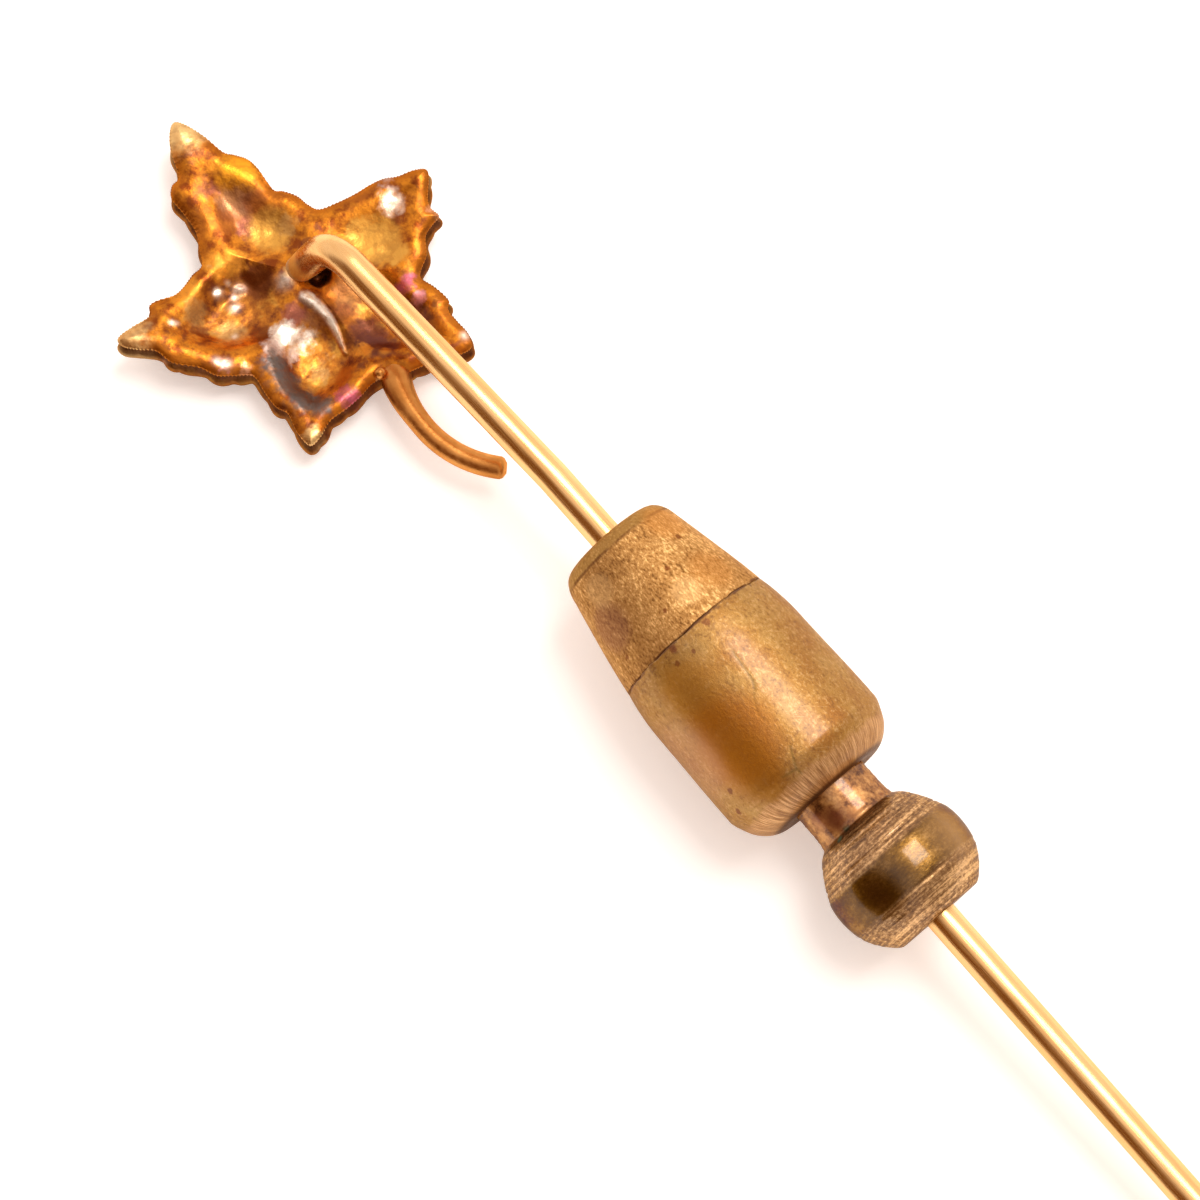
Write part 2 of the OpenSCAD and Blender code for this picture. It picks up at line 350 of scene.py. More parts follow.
class Shader(Nodes):
    """A material's node tree with its Principled shader. Places and sizes in its calls are in mm."""

    def __init__(self, name, **sockets):
        self.material = bpy.data.materials.new(name)
        self.material.use_nodes = True
        super().__init__(self.material.node_tree)
        self.surface = self.tree.nodes["Principled BSDF"]
        for socket, value in sockets.items():
            self.surface.inputs[socket.replace("_", " ")].default_value = value
        self.place = self.node("TexCoord").outputs["Object"]

    def scaled(self, size):
        """Object coordinates divided by a size in mm."""
        return self.times(self.place, 1 / (size * MM))

    def shaft_place(self, across=1.0, along=1.0):
        """Place in mm from the clutch's small end in the shaft's frame, with lengths scaled."""
        from_end = self.vector("SUBTRACT", self.place, (NOSE_END * MM).tolist())
        turned = self.node("VectorRotate", from_end, rotation_type="Y_AXIS")
        turned.inputs["Angle"].default_value = math.asin(WAY[2])
        return self.vector("MULTIPLY", turned.outputs[0], (along / MM, across / MM, across / MM))

    def station(self):
        """Station along the shaft, in mm."""
        return self.node("SeparateXYZ", self.shaft_place()).outputs[0]

    def round_place(self, across, along):
        """Angle round the shaft in radians and station in mm as a vector, scaled."""
        station, side, up = self.node("SeparateXYZ", self.shaft_place()).outputs
        angle = self.product(self.math("ARCTAN2", side, up), across)
        return self.node("CombineXYZ", self.product(station, along), angle).outputs[0]

    def scratched(self, turn):
        """Shaft place for long thin marks across the top, turned from its length by that many radians."""
        node = self.node("VectorRotate", self.shaft_place(), rotation_type="Z_AXIS")
        node.inputs["Angle"].default_value = turn
        return self.vector("MULTIPLY", node.outputs[0], (0.7, 16.0, 3.0))

    def warped(self, size, amount):
        """Object coordinates shifted by noise of that size by up to about the amount, both in mm."""
        colours = self.noise(self.scaled(size), 3.0, 0.5, output="Color")
        centred = self.vector("SUBTRACT", colours, (0.5, 0.5, 0.5))
        return self.vector("ADD", self.place, self.times(centred, 2 * amount * MM))

    def attribute(self, name):
        return self.node("Attribute", attribute_name=name).outputs["Fac"]

    def spot(self, where, centre, radius, soft, share=1.0):
        """The share within a ball round the centre, in mm of the part's frame, fading to 0 at its radius."""
        node = self.node("VectorMath", where, (np.array(centre) * MM).tolist(), operation="DISTANCE")
        return self.step(node.outputs["Value"], radius * (1 - soft) * MM, radius * MM, share, 0)

    def patches(self, colour, where, patches, soft=0.5):
        """Patches of other colours: centre in mm, radius, share and colour of each."""
        for centre, radius, share, tint in patches:
            colour = self.mix(self.spot(where, centre, radius, soft, share), colour, tint)
        return colour

    def seam_line(self):
        """The share of a thin worn line along the seam between the nose and the barrel."""
        wander = self.product(self.noise(self.scaled(0.6), 3, 0.6, seed=6.0), 0.16)
        place = self.math("ADD", self.station(), wander)
        worn = self.step(self.noise(self.scaled(0.9), 3, 0.6, seed=7.0), 0.42, 0.56, 0.05, 0.9)
        return self.product(self.band(place, SEAM + 0.06, SEAM + 0.1, 0.04), worn)

    def finished(self, colour, roughness, bumps, depth):
        """The material, with that colour and roughness, and bumps of that depth for heights from 0 to 1."""
        self.put(self.surface.inputs["Base Color"], colour)
        self.put(self.surface.inputs["Roughness"], roughness)
        node = self.node("Bump")
        node.inputs["Distance"].default_value = depth * MM
        self.put(node.inputs["Height"], bumps)
        self.put(self.surface.inputs["Normal"], node.outputs["Normal"])
        return self.material


def gold_wire(foot):
    """Polished gold with faint lengthwise drawing marks, dulled by solder at the hook's foot; there it is tinted
    bright orange, partly as a painted glow, with a pale solder spot that is also a painted highlight.
    """
    s = Shader("gold_wire", Metallic=1.0, Specular_Tint=(1, 0.86, 0.68, 1))
    tint = s.noise(s.shaft_place(2.0, 0.35), 4)
    solder_and_glow = s.spot(s.place, foot, SOLDER_GLOW_R, 0.4)
    colour = s.ramp(tint, (0.3, (0.8, 0.46, 0.17)), (0.7, (0.92, 0.6, 0.28)))
    # Bright orange near the foot: solder, and partly a painted glow under the hook.
    colour = s.mix(solder_and_glow, colour, (1.0, 0.6, 0.16))
    # A pale solder spot at the foot, which is also a painted highlight.
    colour = s.mix(s.spot(s.warped(0.3, 0.1), foot, SOLDER_R, 0.4), colour, (0.8, 0.68, 0.42))
    marks = s.noise(s.shaft_place(14.0, 0.4), 5, 0.6)
    roughness = s.mix(solder_and_glow, s.step(marks, 0.3, 0.75, 0.2, 0.36), 0.6, "VALUE")
    return s.finished(colour, roughness, marks, 0.006)


def rose_gold():
    """Coppery gold of the stalk, satin."""
    s = Shader("rose_gold", Metallic=1.0, Specular_Tint=(1, 0.75, 0.55, 1))
    tint = s.noise(s.scaled(0.8), 4)
    colour = s.ramp(tint, (0.3, (0.45, 0.16, 0.03)), (0.7, (0.72, 0.33, 0.09)))
    roughness = s.step(s.noise(s.scaled(0.15), 4), 0.3, 0.7, 0.28, 0.45)
    return s.finished(colour, roughness, s.noise(s.scaled(0.12), 4), 0.008)


# Colours of stains, and of painted highlights and shadow
GOLD = (0.72, 0.37, 0.065)
PALE = (0.86, 0.58, 0.24)
ORANGE = (0.82, 0.33, 0.035)
RUST = (0.5, 0.15, 0.015)
BROWN = (0.18, 0.045, 0.01)
BEND_SHADOW = (0.03, 0.008, 0.003)
PLUM = (0.14, 0.04, 0.028)
PURPLE = (0.4, 0.13, 0.09)
MAGENTA = (0.6, 0.13, 0.2)
PINK = (0.85, 0.35, 0.38)
STEEL = (0.14, 0.125, 0.12)
LAVENDER = (0.7, 0.56, 0.5)
OLIVE = (0.6, 0.35, 0.12)
GREY = (0.42, 0.19, 0.09)
SALMON = (0.8, 0.4, 0.22)
WHITE = (1.0, 0.93, 0.82)
SEAM_DIRT = (0.14, 0.05, 0.015)
# Heat stains on the leaf's back, with painted highlights, a painted shadow and a painted dark reflection among
# them: place round the leaf's middle, radius, share and colour
STAINS_AND_PAINTED_LIGHT = [
    (-3.25, 0.65, 0.8, 0.95, (0.92, 0.38, 0.02)), (-3.95, 0.6, 0.4, 0.7, ORANGE),
    # The white patch near lobe A's tip is a painted highlight.
    (-5.2, 0.25, 1.1, 0.95, PALE), (-4.5, 0.05, 0.4, 0.7, WHITE),
    (-3.5, -0.3, 0.55, 0.9, (0.3, 0.09, 0.05)), (-2.65, 0.1, 0.7, 0.8, GREY),
    (-2.3, 0.55, 0.5, 0.8, (0.3, 0.09, 0.03)), (-2.4, -0.5, 0.5, 0.7, (0.36, 0.1, 0.02)),
    (-2.0, 0.7, 0.6, 0.6, RUST), (-1.9, -0.1, 0.4, 0.7, PURPLE), (-1.4, 0.35, 0.8, 0.9, GOLD),
    (-1.2, 0.8, 0.4, 0.6, OLIVE), (-2.7, -0.95, 0.6, 0.6, RUST), (-1.45, -2.65, 0.7, 0.8, ORANGE),
    (-0.9, -2.8, 0.5, 0.7, OLIVE), (0.15, -2.35, 0.6, 0.8, OLIVE), (0.7, -1.75, 0.5, 0.8, BROWN),
    (-0.45, -0.95, 0.7, 0.95, BROWN), (0.1, -1.4, 0.5, 0.7, BROWN), (-1.35, -0.95, 0.45, 0.8, ORANGE),
    # The salmon and pink spots along lobe B's lower rim, from (-0.3, -4.05) to (1.3, -2.7), are rim colour and
    # partly painted highlights.
    (-1.55, -1.45, 0.5, 0.9, ORANGE), (-1.35, -4.65, 1.05, 0.95, PALE), (-0.3, -4.05, 0.35, 0.8, SALMON),
    (0.35, -3.5, 0.35, 0.8, SALMON), (0.9, -3.15, 0.35, 0.9, PINK), (1.3, -2.7, 0.35, 0.9, SALMON),
    # The white patches in lobe C, at (1.2, -1.3) and (1.7, -0.95), are a painted highlight.
    (0.95, -0.7, 0.45, 0.8, PURPLE), (1.45, -0.35, 0.4, 0.6, GREY), (1.2, -1.3, 0.5, 0.95, WHITE),
    (1.7, -0.95, 0.55, 0.95, WHITE), (2.3, -0.8, 0.45, 0.9, PALE), (1.35, -1.85, 0.4, 0.8, LAVENDER),
    (1.85, -1.45, 0.4, 0.8, LAVENDER), (2.6, -1.25, 0.55, 0.9, OLIVE), (2.7, -1.65, 0.5, 0.9, GOLD),
    # The steel patches in lobe C are heat tint and partly a painted dark reflection.
    (1.75, -2.15, 0.55, 0.95, STEEL), (2.35, -2.2, 0.6, 0.95, STEEL), (3.05, -2.2, 0.6, 0.95, STEEL),
    (3.55, -1.9, 0.5, 0.9, STEEL), (3.2, -0.85, 0.5, 0.9, RUST), (3.85, -1.15, 0.5, 0.9, MAGENTA),
    (4.15, -2.6, 0.5, 0.9, PALE), (1.45, 0.8, 0.7, 0.9, (0.28, 0.11, 0.03)),
    (1.85, 0.35, 0.4, 0.8, BROWN), (2.25, 0.4, 0.4, 0.7, RUST), (2.65, 0.5, 0.7, 0.9, PLUM),
    (3.2, 0.5, 0.7, 0.9, PLUM), (2.1, 0.9, 0.35, 0.8, GOLD), (3.05, 0.05, 0.35, 0.8, ORANGE),
    (2.35, 2.2, 0.4, 0.9, MAGENTA), (2.85, 2.2, 0.35, 0.9, PINK), (3.8, 2.3, 0.5, 0.8, RUST),
    # The lavender patch at (-0.05, 3.6) and the pale one at (0.25, 3.4) are a painted highlight at the top of lobe
    # E.
    (3.35, 1.75, 0.6, 0.8, PLUM), (3.95, 1.55, 0.4, 0.8, BROWN), (-0.05, 3.6, 0.5, 0.9, LAVENDER),
    (0.25, 3.4, 0.6, 0.9, (0.9, 0.7, 0.55)), (0.8, 2.4, 0.9, 0.95, GOLD), (0.2, 2.25, 0.5, 0.9, GOLD),
    (1.55, 2.55, 0.5, 0.9, GOLD), (-0.5, 2.85, 0.5, 0.7, RUST), (1.15, 4.05, 0.45, 0.9, SALMON),
    (0.1, 4.65, 0.5, 0.9, PALE), (0.65, 3.85, 0.35, 0.8, PURPLE), (1.75, 3.05, 0.45, 0.7, RUST),
    # A painted shadow under the hook's bend.
    (0.5, 0.5, 0.5, 1.0, BEND_SHADOW), (0.0, -0.1, 0.35, 0.8, OLIVE),
]
# Small ones, which the noise shifts less: stains, and painted highlights in the white and lavender dots, the pink
# ones on lobes A and B, and the pale one at (-0.9, -3.5)
SMALL_STAINS_AND_HIGHLIGHTS = [
    (-3.15, -0.05, 0.2, 0.9, PINK), (-1.6, -1.6, 0.2, 0.8, PALE), (-0.75, -1.35, 0.3, 0.8, PINK),
    (-0.95, -1.9, 0.22, 0.9, WHITE), (-0.45, -1.8, 0.25, 0.8, LAVENDER), (-0.9, -3.5, 0.2, 0.8, PALE),
    (2.8, -2.65, 0.3, 0.8, BROWN), (3.4, -2.6, 0.2, 0.8, RUST), (0.9, -0.12, 0.22, 0.9, WHITE),
    (3.9, -0.1, 0.25, 0.8, PALE), (1.2, 0.3, 0.3, 0.8, RUST), (3.55, 0.4, 0.3, 0.7, ORANGE),
    (4.5, 2.3, 0.3, 0.9, PINK), (4.65, 2.45, 0.15, 0.9, LAVENDER), (4.15, 0.85, 0.25, 0.9, PINK),
]
LEAF_PATCH_Z = RIM_Z - 0.4


def on_leaf(middle, leaf_patches):
    """Patches for stains, painted highlights and painted shade on the leaf's back."""
    return [((middle[0] + x, middle[1] + y, LEAF_PATCH_Z), *look) for x, y, *look in leaf_patches]


def tinted_gold(middle):
    """The leaf's gold, stained by heat in patches of rust, brown, gold, purple, pink and blue, with painted
    highlights, a painted shadow under the hook's bend, and painted shade on its side.
    """
    s = Shader(
        "tinted_gold", Metallic=1.0, Specular_Tint=(0.95, 0.62, 0.4, 1),
        Coat_Weight=0.06, Coat_Roughness=0.3, Coat_IOR=2.0,
    )
    cloud = s.noise(s.scaled(0.5), 4, 0.62)
    grit = s.noise(s.scaled(0.16), 4, 0.7, seed=3.0)
    colour = s.ramp(
        cloud, (0.35, (0.15, 0.036, 0.013)), (0.44, (0.4, 0.13, 0.018)), (0.54, (0.62, 0.23, 0.026)),
        (0.64, (0.76, 0.37, 0.06)),
    )
    rim = s.ramp(cloud, (0.4, (0.24, 0.05, 0.004)), (0.56, (0.66, 0.23, 0.015)))
    colour = s.mix(s.attribute("rim"), colour, rim)
    plum = s.noise(s.scaled(0.7), 3, 0.6, seed=8.0)
    colour = s.mix(s.step(plum, 0.54, 0.64, 0, 0.7), colour, (0.16, 0.04, 0.02))
    colour = s.mix(s.attribute("border"), colour, (0.48, 0.14, 0.008))
    colour = s.mix(s.step(grit, 0.6, 0.72, 0, 0.5), colour, (0.16, 0.045, 0.01))
    # Stains, with painted highlights, a painted shadow and a painted dark reflection among them.
    colour = s.patches(colour, s.warped(0.22, 0.26), on_leaf(middle, STAINS_AND_PAINTED_LIGHT))
    veins = s.band(s.noise(s.scaled(0.8), 5, 0.65, seed=6.0), 0.47, 0.5, 0.04)
    colour = s.mix(s.product(veins, 0.22), colour, (0.24, 0.07, 0.015))
    # Small stains, and painted highlight dots.
    colour = s.patches(colour, s.warped(0.2, 0.07), on_leaf(middle, SMALL_STAINS_AND_HIGHLIGHTS))
    # Painted highlight: white, and less metallic, along the ridge's top and in pale spots.
    painted_highlight = s.product(s.attribute("painted_highlight"), s.step(grit, 0.4, 0.52, 0.7, 1.0))
    colour = s.mix(painted_highlight, colour, WHITE)
    s.put(s.surface.inputs["Metallic"], s.math("SUBTRACT", 1.0, s.product(painted_highlight, 0.4)))
    # Painted shade darkens the leaf's side and its front.
    colour = s.mix(s.attribute("wall"), colour, (0.1, 0.03, 0.008))
    roughness = s.step(s.noise(s.scaled(0.4), 3), 0.3, 0.7, 0.32, 0.52)
    return s.finished(colour, roughness, s.noise(s.scaled(0.24), 3, 0.5), 0.025)


def on_clutch(marks):
    """Patches for marks on the clutch, given by station, angle in degrees, radius, share and colour."""
    profile = NOSE_OUTLINE + BARREL_OUTLINE + NECK_OUTLINE[1:] + BALL_OUTLINE + RING_OUTLINE
    patches = []
    for station, angle, *look in marks:
        out = np.interp(station, *zip(*profile))
        patches.append((on_shaft(station, out, math.radians(angle)), *look))
    return patches


def nose_brass():
    """Matte brass, mottled, with fine bright flecks along it."""
    s = Shader(
        "nose_brass", Metallic=1.0, Specular_Tint=(0.7, 0.55, 0.42, 1), Coat_Weight=0.15, Coat_Roughness=0.5
    )
    cloud = s.noise(s.scaled(0.9), 4, 0.6)
    grain = s.noise(s.shaft_place(15.0, 7.0), 4, 0.75, seed=1.0)
    both = s.share_of(cloud, 0.3, grain)
    colour = s.ramp(
        both, (0.39, (0.2, 0.085, 0.02)), (0.46, (0.41, 0.2, 0.055)), (0.54, (0.52, 0.28, 0.09)),
        (0.6, (0.88, 0.54, 0.21)),
    )
    colour = s.mix(s.seam_line(), colour, SEAM_DIRT)
    station = s.station()
    colour = s.mix(s.step(station, *NOSE_FACE, 0, 0.7), colour, (0.36, 0.2, 0.05))
    # A dark ring of painted shade near the nose's rounded small end.
    line = s.product(s.band(station, *NOSE_LINE, 0.05), s.step(cloud, 0.4, 0.55, 0.1, 0.8))
    colour = s.mix(line, colour, (0.16, 0.06, 0.015))
    marks = [
        (0.76, 41, 0.8, 0.4, (0.66, 0.28, 0.06)), (2.61, 33, 0.8, 0.3, (0.66, 0.28, 0.06)),
        (1.99, -57, 0.9, 0.5, (0.28, 0.12, 0.07)), (1.35, 37, 0.11, 0.8, BROWN), (1.87, 8, 0.09, 0.8, BROWN),
        (2.7, -14, 0.08, 0.8, BROWN), (2.87, -59, 0.1, 0.7, BROWN), (2.46, 49, 0.07, 0.8, BROWN),
        (2.68, 6, 0.5, 0.3, (0.85, 0.56, 0.25)), (1.08, -46, 0.6, 0.3, (0.85, 0.56, 0.25)),
    ]
    colour = s.patches(colour, s.warped(0.14, 0.08), on_clutch(marks))
    return s.finished(colour, s.step(grain, 0.35, 0.65, 0.6, 0.4), grain, 0.025)


def barrel_brass():
    """Satin ochre brass with orange and olive clouds and fine scratches."""
    s = Shader(
        "barrel_brass", Metallic=1.0, Specular_Tint=(0.55, 0.44, 0.34, 1),
        Coat_Weight=0.2, Coat_Roughness=0.26, Coat_IOR=2.2,
    )
    cloud = s.noise(s.scaled(1.5), 4, 0.6)
    colour = s.ramp(cloud, (0.34, (0.33, 0.135, 0.02)), (0.5, (0.4, 0.2, 0.04)), (0.64, (0.44, 0.25, 0.065)))
    grain = s.noise(s.shaft_place(9.0, 7.0), 5, 0.75, seed=2.0)
    colour = s.mix(s.step(grain, 0.52, 0.62, 0, 0.5), colour, (0.64, 0.4, 0.16))
    colour = s.mix(s.step(grain, 0.47, 0.37, 0, 0.6), colour, (0.18, 0.07, 0.014))
    # Painted shade darkens the fine creases.
    colour = s.mix(s.product(s.attribute("crease"), 0.75), colour, (0.16, 0.1, 0.012))
    for turn, seed in ((0.5, 5.0), (-0.9, 6.0), (1.5, 7.0)):
        scratch = s.noise(s.scratched(turn), 3, 0.6, seed=seed)
        colour = s.mix(s.step(scratch, 0.66, 0.74, 0, 0.4), colour, (0.8, 0.52, 0.22))
    dirt = s.noise(s.scaled(0.22), 4, 0.65, seed=8.0)
    station = s.station()
    near_seam = s.product(s.step(station, 4.3, 3.5), s.step(dirt, 0.5, 0.66, 0, 0.7))
    colour = s.mix(near_seam, colour, (0.16, 0.065, 0.02))
    colour = s.mix(s.seam_line(), colour, SEAM_DIRT)
    # The lip's bright copper streaks are partly a painted sheen.
    streaks = s.noise(s.round_place(34.0, 1.2), 5, 0.8, seed=4.0)
    lip_copper_and_sheen = s.ramp(streaks, (0.36, (0.2, 0.085, 0.03)), (0.48, (0.46, 0.23, 0.08)), (0.6, (0.84, 0.52, 0.24)))
    worn = s.math("ADD", station, s.product(s.noise(s.scaled(0.7), 4, 0.6, seed=9.0), 0.5))
    colour = s.mix(s.step(worn, *LIP, 0, 0.9), colour, lip_copper_and_sheen)
    # Painted shade under the lip, next to the neck.
    colour = s.mix(s.step(station, *LIP_EDGE, 0, 0.9), colour, (0.1, 0.04, 0.015))
    marks = [
        (4.78, -34, 1.2, 0.5, (0.52, 0.24, 0.03)), (6.45, -34, 1.6, 0.75, (0.46, 0.16, 0.008)),
        # The pale pink patch at (6.0, -75) is a painted reflection of the floor along the lower-left edge.
        (7.3, -40, 1.2, 0.5, (0.46, 0.18, 0.012)), (6.0, -75, 1.6, 0.3, (0.6, 0.34, 0.2)),
        (7.27, -61, 0.12, 0.8, BROWN), (7.79, -69, 0.12, 0.8, BROWN),
        (3.65, 1, 0.14, 0.7, BROWN), (3.6, -26, 0.14, 0.8, BROWN), (4.01, -17, 0.08, 0.7, BROWN),
        (3.97, -30, 0.11, 0.7, BROWN),
    ]
    colour = s.patches(colour, s.warped(0.14, 0.08), on_clutch(marks))
    return s.finished(colour, s.step(grain, 0.35, 0.65, 0.52, 0.42), grain, 0.022)


def knob_brass():
    """Turned brass, grooved, with a polished olive-brown band round the ball."""
    s = Shader(
        "knob_brass", Metallic=1.0, Specular_Tint=(0.34, 0.27, 0.17, 1),
        Coat_Weight=0.2, Coat_Roughness=0.14, Coat_IOR=2.4,
    )
    station = s.station()
    grooves = s.noise(s.shaft_place(0.5, 14.0), 4, 0.65)
    grain = s.noise(s.shaft_place(9.0, 14.0), 4, 0.75)
    both = s.share_of(grooves, 0.5, grain)
    turned = s.ramp(
        both, (0.38, (0.11, 0.045, 0.012)), (0.49, (0.33, 0.17, 0.06)), (0.59, (0.88, 0.55, 0.25)),
    )
    smudge = s.share_of(s.noise(s.shaft_place(0.9, 2.2), 4, 0.6, seed=2.0), 0.55, grain)
    polished = s.ramp(
        smudge, (0.4, (0.1, 0.04, 0.002)), (0.5, (0.2, 0.092, 0.008)), (0.6, (0.38, 0.2, 0.05)),
    )
    edge = s.product(s.noise(s.scaled(0.5), 3, 0.6, seed=3.0), 0.24)
    band = s.band(s.math("ADD", station, edge), *BALL_BAND, 0.2)
    colour = s.mix(band, turned, polished)
    mottle = s.noise(s.scaled(0.4), 4, 0.7, seed=7.0)
    stained = s.ramp(
        mottle, (0.38, (0.13, 0.045, 0.015)), (0.5, (0.42, 0.19, 0.06)), (0.62, (0.66, 0.35, 0.12)),
    )
    colour = s.mix(s.step(station, *NECK), colour, stained)
    marks = [
        (9.55, -33, 0.5, 0.85, (0.2, 0.055, 0.025)), (9.3, -52, 0.4, 0.7, (0.3, 0.1, 0.04)),
        (9.75, -10, 0.3, 0.6, (0.3, 0.11, 0.03)), (10.03, -41, 0.14, 0.8, (0.2, 0.42, 0.28)),
        (9.96, -28, 0.16, 0.8, (0.07, 0.1, 0.05)), (9.84, 41, 0.12, 0.8, BROWN),
        # The dark patches on the band's left, from -6 to -48 degrees, are a painted dark reflection, and the paler
        # one at 48 degrees is painted light on its right side.
        (11.8, -6, 0.7, 0.4, (0.07, 0.028, 0.001)), (11.75, -26, 1.0, 0.6, (0.07, 0.028, 0.001)),
        (11.9, -48, 1.1, 0.5, (0.09, 0.036, 0.002)), (11.85, 48, 1.3, 0.6, (0.4, 0.22, 0.08)),
    ]
    colour = s.patches(colour, s.warped(0.25, 0.08), on_clutch(marks), 0.8)
    roughness = s.mix(band, s.step(grain, 0.35, 0.65, 0.52, 0.4), 0.32, "VALUE")
    return s.finished(colour, roughness, both, 0.014)


# The clutch

# How far apart a turned piece's points are along it, and how many go round
LATHE_STEP = 0.04
LATHE_SIDES = 360


def lathe(name, outer, inner, relief, material, body, *nodes, **marks):
    """A turned piece: its fine outer outline, and its plain inside back to the outer's start.

    Each of the marks is a function that gives an attribute of its points.
    """
    fine = evenly(outer, LATHE_STEP)
    outline = np.vstack([fine, inner])
    angle = np.linspace(0, 2 * math.pi, LATHE_SIDES, endpoint=False)
    station = np.repeat(outline[:, :1], LATHE_SIDES, axis=1)
    radius = np.repeat(outline[:, 1:], LATHE_SIDES, axis=1)
    turns = np.repeat(angle[None, :], len(outline), axis=0)
    rows = len(fine)
    along, out = relief(station[:rows], radius[:rows], turns[:rows])
    station[:rows] += along
    radius[:rows] += out
    points = on_shaft(station, radius, turns).reshape(-1, 3)
    faces = grid_faces(len(outline), LATHE_SIDES, closed_rows=True)
    values = {mark: share(station, radius, turns) for mark, share in marks.items()}
    make_mesh(name, points, faces, material, body, *nodes, **values)


# Fine creases in the barrel: station and angle in degrees along each
CREASES = [
    [(4.7, 1), (4.85, 0), (5.33, -1), (5.71, -3), (6.0, -9), (6.33, -13), (6.6, -12)],
    [(7.5, -11), (7.55, -12), (7.82, -15), (8.04, -17), (8.24, -16)], [(8.04, -17), (7.96, -27)],
]
CREASE_R = 0.03
# The barrel's radius round the creases, and the angle in degrees that all lie within
CREASES_OUT = 2.48
CREASES_WITHIN = 40


def creased(station, radius, angle):
    """How near each place is to a crease, from 0 to 1."""
    turn = (np.degrees(angle) + 180) % 360 - 180
    place = np.stack([station, radius * np.radians(turn)], axis=-1)
    share = np.zeros(station.shape)
    columns = np.unique((np.abs(turn) < CREASES_WITHIN).nonzero()[1])
    for crease in CREASES:
        line = curve_through(crease, 8)
        line = evenly(np.column_stack([line[:, 0], CREASES_OUT * np.radians(line[:, 1])]), CREASE_R)
        gap = edge_distance(place[:, columns], np.repeat(line, 2, axis=0))
        share[:, columns] = np.maximum(share[:, columns], np.exp(-((gap / CREASE_R) ** 2)))
    return share


def seam_wander(angle):
    """How far the seam's edges wander along the shaft."""
    ring = np.stack([np.cos(angle), np.sin(angle), 0 * angle], axis=-1) * 2.3
    return 0.045 * lumps(ring, 0.6, 3, 3)


def nose_relief(station, radius, angle):
    points = on_shaft(station, radius, angle)
    out = 0.012 * lumps(points, 1.1, 1) + 0.004 * lumps(points, 0.2, 2, 3)
    out -= 0.004 * smooth(station, 3.45, 3.473)
    return smooth(station, 3.0, 3.42) * seam_wander(angle), out


def barrel_relief(station, radius, angle):
    points = on_shaft(station, radius, angle)
    out = 0.012 * lumps(points, 1.6, 4) + 0.002 * lumps(points, 0.25, 5, 3)
    out -= 0.004 * (1 - smooth(station, 3.48, 3.5)) + 0.007 * creased(station, radius, angle)
    return (1 - smooth(station, 3.5, 3.9)) * seam_wander(angle), out


def knob_relief(station, radius, angle):
    rings = np.stack([station, 0 * angle, 0 * angle], axis=-1)
    before, after = BALL_BAND
    grooved = 1 - smooth(station, before - 0.25, before - 0.1) + smooth(station, after - 0.1, after + 0.05)
    out = grooved * (0.014 * lumps(rings, 0.09, 6, 2) - 0.006)
    out -= 0.03 * np.exp(-(((station - BALL_GROOVE) / 0.03) ** 2))
    return 0 * station, out


def clutch():
    outlines = (NOSE_OUTLINE, BARREL_OUTLINE, BALL_OUTLINE, RING_OUTLINE)
    nose, barrel, ball, ring = [curve_through(outline, 8).tolist() for outline in outlines]
    lathe(
        "nose", [(BORE_START, BORE_R)] + nose,
        [(SPIGOT_START, SPIGOT_R), (SPIGOT_END, SPIGOT_R), (SPIGOT_END, BORE_R)],
        nose_relief, nose_brass(), "clutch", "clutch_nose",
    )
    lathe(
        "barrel", [(CAVITY_START, CAVITY_R)] + barrel + [(NECK_HOLE_END, NECK_HOLE_R)],
        [(CAVITY_END, NECK_HOLE_R), (CAVITY_END, CAVITY_R)],
        barrel_relief, barrel_brass(), "clutch", "clutch_barrel", crease=creased,
    )
    lathe(
        "knob", NECK_OUTLINE + ball + ring + [(KNOB_END, KNOB_END_R), (KNOB_END, BORE_R)],
        [(COLLAR_END, BORE_R)],
        knob_relief, knob_brass(), "knob", "clutch_knob",
    )


# The wire

def wire_path():
    """The wire's centre line from the hook's foot to the point, in mm."""
    head_way = -math.cos(SET_TURN) * WAY - math.sin(SET_TURN) * SIDE
    across = math.sin(SET_TURN) * WAY - math.cos(SET_TURN) * SIDE
    down = -math.cos(HOOK_LEAN) * UP + math.sin(HOOK_LEAN) * across
    set_point = NOSE_END - SET_BACK * WAY
    turns = np.linspace(0, HOOK_TURN, 25)[:, None]
    bend = set_point + (HEAD_L + HOOK_R * np.sin(turns)) * head_way + HOOK_R * (1 - np.cos(turns)) * down
    limb_way = math.sin(HOOK_TURN) * down + math.cos(HOOK_TURN) * head_way
    foot_z = RIM_Z - (LEAF_DISH + LEAF_SHEET + LEAF_DISH) / 2
    foot = bend[-1] + limb_way * (bend[-1][2] - foot_z) / -limb_way[2]
    limb = np.linspace(foot, bend[-1], 24)
    before = set_point + SET_SOFT * head_way
    straight = np.linspace(bend[0], before, 40)
    settle = curve_through([before, set_point, set_point + SET_SOFT * WAY], 6)
    shaft = [NOSE_END + station * WAY for station in np.linspace(SET_SOFT - SET_BACK, TIP, 300)]
    return np.vstack([limb[:-1], bend[::-1][:-1], straight[:-1], settle[:-1], shaft]), foot


